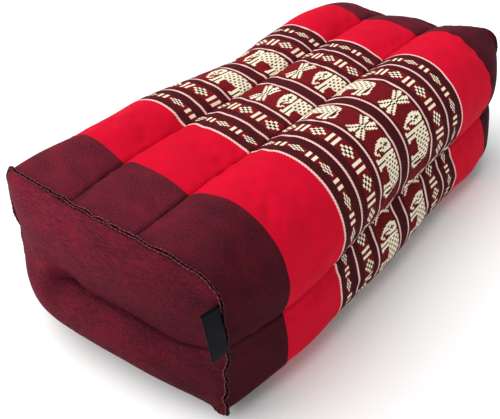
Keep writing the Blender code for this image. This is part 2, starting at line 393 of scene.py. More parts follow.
# The two-coloured yarn's tints and its streaks along the cloth
BRIGHT_YARN = (2.1, 1.3, 1.35)
WRAP_DARK_YARN = (0.30, 0.75, 0.75)
PANEL_DARK_YARN = (0.28, 0.7, 0.7)
WRAP_STREAKS = (0.45, 1, 1)
PANEL_STREAKS = (1.6, 0.07, 1.6)
WRAP_ROUGHNESS = 0.85
PANEL_ROUGHNESS = 0.80

# How fine the weave is, how patchy its yarn, and how much its cloudiness and its grain darken it
WEAVE_SCALE = 2100
PATCHINESS = 0.36
CLOUDINESS = 0.14
GRAININESS = 0.20

# Light and camera
ROOM_LIGHT = 0.52
SUN_FROM = (-0.60, 0.55, 1.20)
SUN_STRENGTH = 3.15
SUN_WIDTH = 70
FLOOR_SIZE = 8
FLOOR_ROUGHNESS = 0.9
EYE = np.array([-0.328988, -0.210425, 0.296557])
AZIMUTH = -0.918950
ELEVATION = 0.644445
ROLL = 0.000356
FOCAL_PIXELS = 652.158
FRAME_WIDTH = 500
SENSOR_WIDTH = 36
CLIP_START = 0.01


def mix(a, b, share):
    return a + (b - a) * share


def smooth(value, start, stop):
    """Rises softly from 0 at start to 1 at stop."""
    share = np.clip((value - start) / (stop - start), 0, 1)
    return share * share * (3 - 2 * share)


def unit(vectors):
    return vectors / np.maximum(np.linalg.norm(vectors, axis=-1, keepdims=True), 1e-12)


def run_along(line):
    """The length of a line up to each of its points."""
    steps = np.linalg.norm(np.diff(line, axis=0), axis=1)
    return np.concatenate([[0], np.cumsum(steps)])


def read_rows(rows, field, run):
    """A field of a table's rows, read between them at runs of cloth."""
    return np.interp(run, [row.run for row in rows], [getattr(row, field) for row in rows])


def ripple(seed, places, wavelength, waves=9):
    """Soft seeded unevenness of about unit height over places of any number of coordinates."""
    rng = np.random.default_rng(seed)
    total = np.zeros(places.shape[:-1])
    for _ in range(waves):
        direction = unit(rng.normal(size=places.shape[-1]))
        wave = wavelength * rng.uniform(*WAVE_SPREAD)
        total += np.sin(2 * np.pi * (places @ direction) / wave + rng.uniform(0, 2 * np.pi))
    return total / np.sqrt(waves / 2) / RIPPLE_HEIGHT


def waving(waves, seed, places):
    """Seeded waves at places of a piece with its own seed."""
    return ripple(seed + waves.seed, places, waves.length) * waves.height


def cut_at(x):
    """The plain section at x, before the seams pull it in."""
    end = FAR if x > 0 else NEAR
    gap = max(LENGTH / 2 - abs(x), 0)
    full = 1 - (1 - min(gap / end.fill_out, 1)) ** SWELL
    waist = WAIST * smooth(abs(x), WAIST_START, WAIST_FULL)
    cut = Section(*[mix(at_end, in_middle, full) for at_end, in_middle in zip(end.section, MIDDLE)])
    return cut._replace(half=cut.half - waist, high=cut.high - waist / 2)


def plain_loop(cut):
    """The section as a closed (y, z) loop from the +Y side over the top, and the run at each point."""
    corners = (
        (cut.half - cut.high_radius, cut.high - cut.high_radius, cut.high_radius, 0),
        (cut.high_radius - cut.half, cut.high - cut.high_radius, cut.high_radius, 90),
        (cut.low_radius - cut.half, cut.low + cut.low_radius, cut.low_radius, 180),
        (cut.half - cut.low_radius, cut.low + cut.low_radius, cut.low_radius, 270),
    )
    arcs = []
    for y, z, radius, start in corners:
        angle = np.radians(start + np.linspace(0, 90, ARC_POINTS))
        arcs.append(np.column_stack([y + radius * np.cos(angle), z + radius * np.sin(angle)]))
    loop = np.vstack(arcs + [arcs[0][:1]])
    return loop, run_along(loop)


def seam_runs(cut, run):
    """Where the six seams lie on the loop, the +Y side seam first and again at the end."""
    top = run[ARC_POINTS - 1] + cut.half - cut.high_radius
    bottom = run[3 * ARC_POINTS - 1] + cut.half - cut.low_radius
    left_side = cut.seam_height - (cut.high - cut.high_radius)
    right_side = run[2 * ARC_POINTS - 1] + cut.high - cut.high_radius - cut.seam_height
    runs = [left_side, top - cut.left, top - cut.right, right_side, bottom + cut.right, bottom + cut.left]
    return runs + [left_side + run[-1]]


def pulls(cut):
    """How deep each of those seams is pulled in."""
    return [cut.side, cut.top, cut.top, cut.side, cut.bottom, cut.bottom, cut.side]


def on_loop(loop, run, at):
    at = np.mod(at, run[-1])
    return np.column_stack([np.interp(at, run, loop[:, 0]), np.interp(at, run, loop[:, 1])])


def inward(loop, run, at):
    """The direction into the filling at each point of the loop."""
    small = 0.0006
    ahead = on_loop(loop, run, at + small) - on_loop(loop, run, at - small)
    return unit(np.column_stack([-ahead[:, 1], ahead[:, 0]]))


def drawn_in(x, channel, from_first, from_last):
    """How far points of a channel stand out along the block at an end: its middle most, its seams least."""
    end = FAR if x > 0 else NEAR
    hold = max(1 - (LENGTH / 2 - abs(x)) / DRAWN_LENGTH, 0) ** 2
    middle = np.sin(np.pi * from_first / (from_first + from_last))
    seams = np.exp(-from_first / DRAWN_WIDTH) + np.exp(-from_last / DRAWN_WIDTH)
    below = DRAWN_BELOW if channel >= FIRST_LOW_TUBE else 1.0
    return end.side * hold * below * (end.mound * middle - end.drawn * seams)


def bulging(x, channel, from_first, from_last):
    """How far the filling stands out at points of a channel, less near its seams."""
    share = from_first / (from_first + from_last)
    total = np.zeros(len(share))
    for bulge in BULGES:
        if bulge.channel == channel:
            away = ((x - bulge.at) / bulge.length) ** 2 + ((share - bulge.share) / bulge.width) ** 2
            total += bulge.height * np.exp(-away / 2)
    return total * smooth(np.minimum(from_first, from_last), 0, BULGE_FROM_SEAM)


def channel_pull(seams, depth, channel, at):
    """How far the two seams of a channel pull its points in, before both its neighbours agree."""
    reach = [PULL_REACH] * 4 + [BOTTOM_PULL_REACH] * 2 + [PULL_REACH]
    pull = depth[channel] * np.exp((seams[channel] - at) / reach[channel])
    return pull + depth[channel + 1] * np.exp((at - seams[channel + 1]) / reach[channel + 1])


def channel_line(x, channel, shares):
    """Points of the wrap near x from one seam to the next, at the given shares of the cloth between."""
    cut = cut_at(x)
    loop, run = plain_loop(cut)
    seams = seam_runs(cut, run)
    depth = pulls(cut)
    first, last = seams[channel], seams[channel + 1]
    at = np.linspace(first, last, LINE_POINTS)
    pull = channel_pull(seams, depth, channel, at)
    before = channel_pull(seams, depth, channel - 1, seams[channel]) if channel else 0
    after = channel_pull(seams, depth, channel + 1, last) if channel < len(TUBES) - 1 else 0
    pull += max(before - pull[0], 0) * np.exp((first - at) / SEAM_BLEND)
    pull += max(after - pull[-1], 0) * np.exp((at - last) / SEAM_BLEND)
    stitch = STITCH_PULL * mix(STITCH_AT_END, 1.0, smooth(LENGTH / 2 - abs(x), 0, STITCH_FULL))
    pull += stitch * (np.exp((first - at) / STITCH_REACH) + np.exp((at - last) / STITCH_REACH))
    pull -= bulging(x, channel, at - first, last - at)
    y, z = (on_loop(loop, run, at) + inward(loop, run, at) * pull[:, None]).T
    upper = np.clip((z - cut.seam_height) / (cut.high - cut.seam_height), 0, 1)
    z = np.maximum(z - cut.tilt * upper * y / cut.half, 0)
    x = x + drawn_in(x, channel, at - first, last - at)
    length = run_along(np.column_stack([y, z]))
    wanted = shares * length[-1]
    return np.column_stack([np.interp(wanted, length, values) for values in (x, y, z)])


def channel_starts():
    """The run of cloth at which each tube starts, counted from the +Y side seam."""
    shares = np.linspace(0, 1, MEASURED_POINTS)
    lengths = [run_along(channel_line(0.0, channel, shares))[-1] for channel in range(len(TUBES))]
    return np.concatenate([[0], np.cumsum(lengths)])


def chart_rows(tube, length):
    """Shares of a tube's cloth at which its picks lie, and the chart row of each step between them."""
    first = (tube.cloth_start - CHART_START) / PICK
    inner = np.arange(np.ceil(first + LEAST_PICK), first + length / PICK - LEAST_PICK)
    edges = np.concatenate([[first], inner, [first + length / PICK]])
    shares = (edges - first) * PICK / length
    rows = np.floor((edges[:-1] + edges[1:]) / 2).astype(int) % PICKS
    return shares, rows


def columns():
    """Places of the mesh columns along the block, and what each step between them shows."""
    edges, shows = [], []

    def steps(kind, start, stop, count):
        for step in range(count):
            edges.append(mix(start, stop, step / count))
            shows.append((kind, step))

    def plain(kind, start, stop):
        steps(kind, start, stop, int(round((stop - start) / PLAIN_STEP)))

    half = LINE_WIDTH / 2
    first, last = BANDS[0].line_before, BANDS[-1].line_after
    plain("maroon", -LENGTH / 2, DARK_TO_RED)
    plain("red", DARK_TO_RED, first - half)
    for band in BANDS:
        steps("line", band.line_before - half, band.line_before + half, 2)
        steps(band.kind, band.line_before + half, band.line_after - half, band.threads)
    steps("line", last - half, last + half, 2)
    plain("red", last + half, RED_TO_DARK)
    plain("maroon", RED_TO_DARK, LENGTH / 2)
    edges.append(LENGTH / 2)
    return np.array(edges), shows


def chart_mark(chart, start, row, thread):
    """The chart's mark for one pick and thread, or a space outside it; thread 0 is its lowest line."""
    pick = (row - start) % PICKS
    line = len(chart) - 1 - thread
    if 0 <= line < len(chart) and pick < len(chart[0]):
        return chart[line][pick]
    return " "


def bar_or_lozenge(lozenge, row, thread):
    """A pair of bars or a lozenge, three times in the repeat."""
    short = row % (PICKS // 3)
    if 0 <= thread < len(lozenge) and short in BARS_AT:
        return "#"
    if LOZENGE_AT <= short < LOZENGE_AT + len(lozenge[0]):
        return chart_mark(lozenge, LOZENGE_AT, short, thread)
    return " "


def edge_colour(row, step):
    """The colour of an overcast raw edge with painted shade on its walls: its tip is thread, and every third
    step lies under a stitch.
    """
    yarn = EDGE_THREAD if row in EDGE_TIP else MAROON
    light = RAW_EDGE_PAINTED_LIGHT[row] * (EDGE_STITCH if step % EDGE_EVERY == 0 else EDGE_BETWEEN)
    return tuple(light * part for part in yarn)


def figure_mark(kind, thread, row):
    """What a figured band shows at one pick and thread."""
    if kind == "small":
        return bar_or_lozenge(SMALL_LOZENGE, row, thread - SMALL_LOZENGE_LOW)
    if kind == "large":
        return bar_or_lozenge(LARGE_LOZENGE, row, thread - LARGE_LOZENGE_LOW)
    mark = chart_mark(ELEPHANT, ELEPHANT_AT, row, thread - ELEPHANT_LOW)
    return chart_mark(CROSS, CROSS_AT, row, thread - CROSS_LOW) if mark == " " else mark


def cell_colour(kind, thread, row):
    """The woven colour of one step of one pick, and how much two-coloured yarn shows in it."""
    if kind in PLAIN_CELLS:
        return PLAIN_CELLS[kind]
    if kind == "edge":
        return edge_colour(thread, row), 1.0
    if kind == "line":
        return (PINK if (thread + row) % 2 else PALE_PINK), 0.0
    mark = figure_mark(kind, thread, row)
    if mark in MARKS:
        return MARKS[mark], 0.0
    return (BRICK if thread in BRICK_THREADS[kind] else GROUND), FIGURE_SHOT


def wander(run, edges):
    """How far each column moves along the block at a run of cloth; it dies away towards both ends."""
    near = read_rows(WANDERS, "near", run)
    far = read_rows(WANDERS, "far", run)
    first, last = BANDS[0].line_before, BANDS[-1].line_after
    across = np.clip((edges - first) / (last - first), 0, 1)
    hold = smooth(edges, -LENGTH / 2, first) * smooth(edges, LENGTH / 2, last)
    return mix(near[None, :], far[None, :], across[:, None]) * hold[:, None]


def tube_skin(channel, shares, edges, start, length):
    """The outer cloth of one tube as a grid of points, columns along the block by picks round it."""
    stations = np.arange(-LENGTH / 2, LENGTH / 2 + STATION_STEP / 2, STATION_STEP)
    stations[-1] = LENGTH / 2
    base = np.array([channel_line(x, channel, shares) for x in stations])
    moved = edges[:, None] + wander(start + shares * length, edges)
    grid = np.empty((len(edges), len(shares), 3))
    for pick in range(len(shares)):
        for axis in range(3):
            grid[:, pick, axis] = np.interp(moved[:, pick], stations, base[:, pick, axis])
    return grid


def body_rings():
    """Rings of the whole filled body, from the middle of the near face to the middle of the far one."""
    splits = [np.arange(steps) / steps for steps in SIM_STEPS]
    rings = [
        np.vstack([channel_line(x, channel, shares) for channel, shares in enumerate(splits)])
        for x in SIM_STATIONS
    ]
    near = [face_ring(NEAR, rings[0], share) for share in SIM_SHARES[1:]]
    far = [face_ring(FAR, rings[-1], share) for share in SIM_SHARES[1:]]
    return np.array(near[::-1] + rings + far)


def body_faces(rings, around):
    faces = ring_faces(rings, around, False)
    faces += [(rings * around, (step + 1) % around, step) for step in range(around)]
    last = (rings - 1) * around
    faces += [(rings * around + 1, last + step, last + (step + 1) % around) for step in range(around)]
    return faces


def pinned_points(rings):
    """True where stitches, the end seams, the crease or the floor hold the body."""
    face_rings = len(SIM_SHARES) - 1
    pinned = np.zeros(rings.shape[:2], bool)
    seams = np.cumsum((0,) + SIM_STEPS[:-1])
    pinned[face_rings:-face_rings, seams] = True
    pinned[[face_rings, -face_rings - 1]] = True
    pinned[rings[..., 2] < FLOOR_HOLD] = True
    face = rings[:face_rings]
    over = over_crease(NEAR, face[..., 1], face[..., 2])
    pinned[:face_rings] |= (np.abs(over) < CREASE_HOLD) & (face[..., 1] < CREASE_START)
    return pinned


def settled_body():
    """How far each point of the body's rings moves when its filling blows its cloth up a little."""
    rings = body_rings()
    around = rings.shape[1]
    points = np.vstack([rings.reshape(-1, 3), rings[0].mean(axis=0), rings[-1].mean(axis=0)])
    body = mesh_object("filled_body", points, body_faces(len(rings), around))
    group = body.vertex_groups.new(name="held")
    held = np.append(pinned_points(rings).ravel(), [False, False])
    group.add([int(index) for index in np.flatnonzero(held)], 1.0, "REPLACE")
    cloth = body.modifiers.new("filling", "CLOTH")
    for setting, value in CLOTH_SETTINGS.items():
        setattr(cloth.settings, setting, value)
    cloth.settings.effector_weights.gravity = 0
    cloth.collision_settings.use_collision = False
    scene = bpy.context.scene
    for step in range(1, SIM_FRAMES + 1):
        scene.frame_set(step)
    settled = body.evaluated_get(bpy.context.evaluated_depsgraph_get())
    after = np.array([vertex.co for vertex in settled.data.vertices])
    scene.frame_set(1)
    bpy.data.objects.remove(body, do_unlink=True)
    moved = (after - points)[: rings.shape[0] * around].reshape(rings.shape)
    length = np.linalg.norm(moved, axis=2, keepdims=True)
    return moved * np.minimum(SIM_MOST / np.maximum(length, 1e-9), 1)


def spline_weights(places, count, closed):
    """Weights that read count evenly spaced values at fractional places along a smooth curve."""
    base = np.floor(places).astype(int)
    part = places - base
    curve = (
        (-part + 2 * part**2 - part**3) / 2,
        (2 - 5 * part**2 + 3 * part**3) / 2,
        (part + 4 * part**2 - 3 * part**3) / 2,
        (part**3 - part**2) / 2,
    )
    weights = np.zeros((len(places), count))
    for step, weight in zip((-1, 0, 1, 2), curve):
        index = (base + step) % count if closed else np.clip(base + step, 0, count - 1)
        np.add.at(weights, (np.arange(len(places)), index), weight)
    return weights


def read_moved(moved, ring_places, around_places):
    """The simulated movement at every crossing of the given rings and places round them."""
    along = spline_weights(ring_places, moved.shape[0], False)
    around = spline_weights(around_places, moved.shape[1], True)
    return np.einsum("ar,rpk,bp->abk", along, moved, around, optimize=True)


def around_places(channel, shares):
    return sum(SIM_STEPS[:channel]) + shares * SIM_STEPS[channel]


def station_places(along):
    step = SIM_STATIONS[1] - SIM_STATIONS[0]
    return len(SIM_SHARES) - 1 + (along - SIM_STATIONS[0]) / step


def face_places(end, shares):
    """Where rings of an end face lie among the simulated rings."""
    inwards = np.interp(-np.array(shares), -np.array(SIM_SHARES), np.arange(len(SIM_SHARES)))
    if end.side < 0:
        return len(SIM_SHARES) - 1 - inwards
    return len(SIM_SHARES) - 1 + len(SIM_STATIONS) - 1 + inwards


def grid_normals(grid):
    """Outward directions of a grid that runs along the block and then round it."""
    along = np.gradient(grid, axis=0)
    around = np.gradient(grid, axis=1)
    return unit(np.cross(around, along))


def puckered(grid, shares, length, seed):
    """Small gathers where the cloth meets its seams, and the filling's soft unevenness."""
    normals = grid_normals(grid)
    from_seam = np.minimum(shares, 1 - shares) * length
    gather = np.exp(-from_seam / GATHER_REACH) * smooth(from_seam, 0, GATHER_START)
    places = np.dstack([grid[..., 0], np.broadcast_to(shares * length * GATHER_STRETCH, grid.shape[:2])])
    free = smooth(from_seam, 0, LUMPS_FROM_SEAM)
    free = free * smooth(LENGTH / 2 - np.abs(grid[..., 0]), 0, LUMPS_FROM_END)
    out = waving(GATHERS, seed, places) * gather + waving(LUMPS, seed, grid) * free
    return grid + normals * (out * smooth(grid[..., 2], RESTING_BELOW, FREE_ABOVE))[..., None]


def mesh_object(name, points, faces, seen=None):
    """A mesh whose first seen faces are shaded smoothly and whose hidden ones, after them, aren't."""
    mesh = bpy.data.meshes.new(name)
    mesh.from_pydata([tuple(point) for point in points], [], faces)
    mesh.polygons.foreach_set("use_smooth", np.arange(len(faces)) < (seen or len(faces)))
    mesh.update()
    thing = bpy.data.objects.new(name, mesh)
    bpy.context.scene.collection.objects.link(thing)
    return thing


def grid_faces(columns_count, rows_count):
    faces = []
    for column in range(columns_count - 1):
        for row in range(rows_count - 1):
            corner = column * rows_count + row
            faces.append((corner, corner + 1, corner + rows_count + 1, corner + rows_count))
    return faces


def paint(thing, colours, shots, cloth):
    """Stores a face's woven colour and its two-coloured yarn, and each point's place on the flat cloth."""
    mesh = thing.data
    corners = np.array([polygon.loop_total for polygon in mesh.polygons])
    rgba = np.column_stack([np.repeat(colours, corners, axis=0), np.ones(corners.sum())])
    layer = mesh.color_attributes.new("woven", "FLOAT_COLOR", "CORNER")
    layer.data.foreach_set("color", rgba.ravel())
    layer = mesh.attributes.new("shot", "FLOAT", "CORNER")
    layer.data.foreach_set("value", np.repeat(shots, corners))
    layer = mesh.attributes.new("cloth", "FLOAT_VECTOR", "POINT")
    layer.data.foreach_set("vector", cloth.ravel())


def hidden_walls(skin):
    """Two rows of points inside the block, at which a tube's walls towards the other tubes meet."""
    first, last = skin[:, 0], skin[:, -1]
    core = first * (1, 0, 0) + (0, 0, MIDDLE.seam_height)
    middle = skin.mean(axis=1)
    rows = [mix(mix(edge, core, WALL_SHARE), middle, WALL_ASIDE) for edge in (first, last)]
    return np.stack(rows, axis=1) * (WALL_LENGTH, 1, 1)


def wall_faces(count, rows, lip, base):
    """Faces of the walls of a tube whose first wall point is number base."""
    faces = []
    for step in range(count - 2 * lip - 1):
        here, after = (lip + step) * rows, (lip + step + 1) * rows
        wall, next_wall = base + 2 * step, base + 2 * step + 2
        faces.append((here, after, next_wall, wall))
        faces.append((wall, next_wall, next_wall + 1, wall + 1))
        faces.append((wall + 1, next_wall + 1, after + rows - 1, here + rows - 1))
    return faces


def end_loops(count, rows, lip, base):
    """The open outlines at the near and far end of a tube with walls, each in the order its faces need."""
    near_skin, far_skin = lip * rows, (count - 1 - lip) * rows
    far = (count - 1) * rows
    last_wall = base + 2 * (count - 2 * lip - 1)
    near_loop = list(range(rows - 1, -1, -1)) + [near_skin, base, base + 1, near_skin + rows - 1]
    far_loop = list(range(far, far + rows)) + [far_skin + rows - 1, last_wall + 1, last_wall, far_skin]
    return near_loop, far_loop


def lip_sides(count, rows, lip):
    """Faces that close the short sides of a tube's raw edges."""
    near = [column * rows for column in range(lip + 1)]
    far = [column * rows for column in range(count - 1 - lip, count)]
    across = rows - 1
    return [near, [at + across for at in near[::-1]], far, [at + across for at in far[::-1]]]


def fan(loop, middle):
    return [(at, loop[(step + 1) % len(loop)], middle) for step, at in enumerate(loop)]


def closed_tube(grid, lip):
    """Points and faces of a tube: its outer cloth first, then its hidden walls and ends."""
    count, rows = grid.shape[:2]
    walls = hidden_walls(grid[lip:count - lip])
    points = np.vstack([grid.reshape(-1, 3), walls.reshape(-1, 3)])
    outer = grid_faces(count, rows)
    hidden = wall_faces(count, rows, lip, count * rows) + lip_sides(count, rows, lip)
    for side, loop in zip((-1, 1), end_loops(count, rows, lip, count * rows)):
        middle = points[loop].mean(axis=0)
        middle[0] = side * (LENGTH / 2 - TUBE_END_DEPTH)
        hidden += fan(loop, len(points))
        points = np.vstack([points, middle])
    return points, outer, hidden


def with_lips(grid, channel, lips, splits):
    """A tube's outer cloth with its raw edges at both ends in place of its first and last column."""
    first = sum(len(shares) - 1 for shares in splits[:channel])
    around = (first + np.arange(grid.shape[1])) % lips[0].shape[1]
    near, far = (lip[:, around] for lip in lips)
    return np.concatenate([near, grid[1:-1], far[::-1]])


def with_lip_shows(edges, shows):
    """Places along the cloth and what each step shows, for a tube's cloth with its raw edges."""
    run = np.arange(1, len(LIP) + 1) * LIP_STEP
    places = np.concatenate([edges[0] - run[::-1], edges[1:-1], edges[-1] + run])
    raw = [("edge", row) for row in range(len(RAW_EDGE_PAINTED_LIGHT))]
    return places, raw + [("maroon", 0)] + shows[1:-1] + [("maroon", 0)] + raw[::-1]


def tube_colours(shows, rows, run):
    """The woven colour of each cell of a tube's outer cloth, with painted light and shade by run and painted
    shade beside the seams, and how much two-coloured yarn it shows.
    """
    cells = [cell_colour(kind, thread, row) for kind, thread in shows for row in rows]
    shots = np.array([shot for _, shot in cells])
    # Painted light and shade by run, in the cells where two-coloured yarn shows
    light = mix(1.0, np.tile(read_rows(PAINTED_LIGHT_TURNS, "light", run), len(shows)), shots)
    # Painted shade on the picks beside each seam, where its groove is shaded
    seam_shade = np.ones((len(shows), len(rows)))
    for pick, share in enumerate(SEAM_PAINTED_SHADE_FADE):
        seam_shade[:, [pick, -1 - pick]] = [[SEAM_PAINTED_SHADE.get(kind, 1.0) ** share] for kind, _ in shows]
    colours = np.array([colour for colour, _ in cells])
    return colours * (light * seam_shade.ravel())[:, None], shots


def make_tube(channel, edges, shows, starts, moved, lips, splits):
    """One tube with its colours; its hidden walls and ends are plain."""
    start, length = starts[channel], starts[channel + 1] - starts[channel]
    shares, rows = chart_rows(TUBES[channel], length)
    grid = tube_skin(channel, shares, edges, start, length)
    grid += read_moved(moved, station_places(edges), around_places(channel, shares))
    grid = puckered(grid, shares, length, TUBE_SEED + channel)
    grid[..., 2] = np.maximum(grid[..., 2], 0)
    grid = with_lips(grid, channel, lips, splits)
    edges, shows = with_lip_shows(edges, shows)
    points, outer, hidden = closed_tube(grid, len(LIP))
    thing = mesh_object(TUBES[channel].name, points + CENTRED, outer + hidden, len(outer))
    colours, shots = tube_colours(shows, rows, start + (shares[:-1] + shares[1:]) / 2 * length)
    colours = np.vstack([colours, np.tile(INSIDE, (len(hidden), 1))])
    shots = np.append(shots, np.zeros(len(hidden)))
    along, around = np.meshgrid(edges, start + shares * length, indexing="ij")
    cloth = np.dstack([along, around, np.zeros(along.shape)]).reshape(-1, 3)
    paint(thing, colours, shots, np.vstack([cloth, points[len(cloth):]]))
    return thing


def rim_of(end, splits):
    """The end seam's ring round all six tubes."""
    x = end.side * LENGTH / 2
    lines = [channel_line(x, channel, shares) for channel, shares in enumerate(splits)]
    return np.vstack([line[:-1] for line in lines])


def over_crease(end, y, z):
    """How high a place on an end face is over the crease, which hangs below the height of the side seams."""
    sag = smooth(y, SAG_START, SAG_FULL) + SAG_ASIDE * smooth(y, *SAG_ASIDE_BETWEEN)
    return z - end.section.seam_height + end.swelling.sag * sag


def in_pocket(y, over):
    """How far a place on an end face is in the pocket where the crease starts, from 0 to 1."""
    return np.exp(-((y - DENT_AT) ** 2 + over**2) / DENT_WIDTH**2)


def eased(rim):
    """The rim with its notches at the seams smoothed away."""
    for _ in range(EASE_ROUNDS):
        rim = (np.roll(rim, 1, axis=0) + rim + np.roll(rim, -1, axis=0)) / 3
    return rim


def face_ring(end, rim, share):
    """One ring of the swollen end face: the rim drawn in to a share of its size."""
    section, swelling = end.section, end.swelling
    rim = mix(eased(rim), rim, smooth(share, EASE_START, 1.0))
    y = rim[:, 1] * share
    up = (rim[:, 2] - section.seam_height) * share
    z = section.seam_height + up
    reach = np.where(up > 0, section.high - section.seam_height, section.seam_height - section.low)
    across = np.clip(np.abs(y) / section.half, 0, 1)
    dome = (1 - across**FLAT_ACROSS) * (1 - np.clip(np.abs(up) / reach, 0, 1) ** FLAT_UPWARDS)
    lean = 1 + swelling.lean * y / section.half
    over = over_crease(end, y, z)
    swell = mix(swelling.below, swelling.above, smooth(over, -BLEND, BLEND)) * lean
    crease = swelling.crease * smooth(y, CREASE_START, CREASE_FULL)
    crease = crease * np.exp(-np.abs(over) / np.where(over > 0, CREASE_ABOVE, CREASE_BELOW))
    crease += swelling.dent * in_pocket(y, over)
    drawn = (rim[:, 0] - end.side * LENGTH / 2) * share**DRAWN_FADE
    x = end.side * (LENGTH / 2 + (swell - crease) * dome) + drawn
    return np.column_stack([x, y, z])


def ring_faces(rings, around, flip):
    faces = []
    for ring in range(rings - 1):
        for step in range(around):
            after = (step + 1) % around
            quad = (ring * around + step, ring * around + after,
                    (ring + 1) * around + after, (ring + 1) * around + step)
            faces.append(quad[::-1] if flip else quad)
    return faces


def lip_frame(rim, end):
    """The ways in which a raw edge stands up at each point of the rim and leans towards the wrap."""
    ahead = np.roll(rim, -2, axis=0) - np.roll(rim, 2, axis=0)
    outward = unit(np.column_stack([np.zeros(len(rim)), ahead[:, 2], -ahead[:, 1]]))
    along = np.array([end.side, 0.0, 0.0])
    return unit(outward + along), unit(outward - along)


def in_zone(zone, rim):
    """How far each point of the rim is in a zone, from 0 to 1."""
    return smooth(rim[:, 1], zone.across, zone.full_across) * smooth(rim[:, 2], zone.up, zone.full_up)


def rim_places(rim):
    """A place on a circle for each point of the rim, at which waves along it are read."""
    run = run_along(rim)
    circle = 2 * np.pi * run / (run[-1] + np.linalg.norm(rim[0] - rim[-1]))
    return np.column_stack([np.cos(circle), np.sin(circle)]) * run[-1] / (2 * np.pi)


def lip_lean(rim, end, seed):
    """How far a raw edge leans at each point, most of it together with the edge beside it."""
    places = rim_places(rim)
    corner = in_zone(CORNER, rim)
    both = int(end.side)
    lean = waving(LEAN_TOGETHER, both, places) * mix(1.0, LEAN_AT_CORNER, corner)
    lean += waving(LEAN_LOW, both, places) * smooth(rim[:, 2], *LEAN_LOW_BETWEEN) * corner
    lean += waving(LEAN_APART, seed, places)
    return lean + waving(FLUTTER, seed, places)


def lip_height(rim, end, seed):
    """How tall a raw edge is at each point, as a share of its full height."""
    tall = 1 + waving(UNEVEN, seed, rim_places(rim))
    tall -= EDGE_DIP * (np.arange(len(rim)) % EDGE_EVERY == 0)
    least, down, up = EDGE_LEFT_DOWN
    left = in_zone(TOP_LEFT, rim) * mix(least, 1.0, smooth(rim[:, 2], down, up))
    tall *= mix(1.0, EDGE_LOW, np.maximum(left, in_zone(UNDERNEATH, rim)))
    if end.side > 0:
        tall *= mix(EDGE_FAR, EDGE_FAR_CORNER, in_zone(FAR_CORNER, rim))
    return tall


def lip_rings(rim, end, seed, side):
    """A raw cloth edge standing up along the end seam, uneven in height and leaning to and fro."""
    stand, aside = lip_frame(rim, end)
    lean = lip_lean(rim, end, seed)
    tall = lip_height(rim, end, seed)
    splay = side * mix(1.0, SPLAY, in_zone(SPLAYED, rim))
    top = max(row.up for row in LIP)
    rings = []
    for row in LIP:
        share = max(row.up / top, 0)
        offset = row.aside * splay + lean * share**2
        rings.append(rim + stand * (row.up * tall)[:, None] + aside * offset[:, None])
    return np.array(rings)


def order_of(numbers, backwards):
    return list(numbers)[::-1] if backwards else list(numbers)


def panel_rings(end, splits, moved):
    """Rings of a panel, from the foot of its raw edge to near the middle of its swollen face."""
    rim = rim_of(end, splits)
    rings = []
    for share in PANEL_SHARES:
        ring = face_ring(end, rim, share)
        ring[:, 0] += end.side * PANEL_STAND * smooth(1 - share, 0, PANEL_STAND_FULL)
        rings.append(ring)
    places = [around_places(channel, shares[:-1]) for channel, shares in enumerate(splits)]
    rings = list(np.array(rings) + read_moved(moved, face_places(end, PANEL_SHARES), np.concatenate(places)))
    lip = list(lip_rings(rim, end, end.seed + PANEL_SEED, 1))
    return lip[:-1] + [mix(lip[-1], rings[1], 0.5)] + rings[2:]


def make_panel(end, splits, moved):
    """An end panel with its raw edge, closed by a hidden back."""
    rings = panel_rings(end, splits, moved)
    around = len(rings[0])
    back = np.array([[end.side * (LENGTH / 2 - PANEL_BACK_DEPTH), 0.0, MIDDLE.seam_height]])
    points = np.vstack(rings + [rings[-1].mean(axis=0, keepdims=True), back]) + CENTRED
    flip = end.side < 0
    last = (len(rings) - 1) * around
    outer = ring_faces(len(rings), around, flip)
    outer += fan(order_of(range(last, last + around), flip), len(points) - 2)
    faces = outer + fan(order_of(range(around), not flip), len(points) - 1)
    thing = mesh_object("panel_" + end.name, points, faces, len(outer))
    # The panel's colour darkened by its painted shade
    colours = np.tile(PANEL, (len(faces), 1)) * panel_light(points, faces, end)[:, None]
    raw = [edge_colour(row, step) for row in range(len(RAW_EDGE_PAINTED_LIGHT)) for step in range(around)]
    colours[: len(raw)] = raw
    paint(thing, colours, np.ones(len(faces)), points[:, ::-1])
    return thing


def shaded(shading, values):
    return mix(shading.dark, shading.light, smooth(values, shading.start, shading.stop))


def panel_light(points, faces, end):
    """The painted light and shade on the two-coloured yarn of each face of a panel."""
    middles = np.array([points[list(face[:3])].mean(axis=0) for face in faces])
    across, up = middles[:, 1], middles[:, 2]
    over = over_crease(end, across, up)
    fold = np.exp(-((over / CREASE_SHADE_WIDTH) ** 2)) * smooth(across, CREASE_START, CREASE_FULL)
    fold += POCKET_SHADE * in_pocket(across, over)
    light = shaded(ACROSS_SHADING, across) * shaded(UPWARD_SHADING, up)
    return light * (1 - fold * end.swelling.crease * CREASE_SHADE)


def corner_line():
    """The near end's rim on the -Y side, from the side seam upwards."""
    return channel_line(-LENGTH / 2, LABEL_TUBE, np.linspace(1.0, 0.5, LABEL_RIM_POINTS))


def label_point(rim, z, turn, out, aside):
    """A point of the tape: its height on the seam, and how far out from it and aside of the middle it is."""
    x, y = (np.interp(z, rim[:, 2], rim[:, axis]) for axis in (0, 1))
    share = (z - LABEL_LOW) / (LABEL_HIGH - LABEL_LOW)
    beside = mix(LABEL_LOW_ASIDE, LABEL_HIGH_ASIDE, share) * smooth(out, -LABEL_IN_SEAM, 0.0)
    root = np.array([x - LABEL_FORWARD, y - beside, z + LABEL_RISE * out / LABEL_REACH])
    ahead = np.array([-np.cos(turn), np.sin(turn), 0.0])
    across = np.array([-np.sin(turn), -np.cos(turn), 0.0])
    return root + ahead * out + across * aside


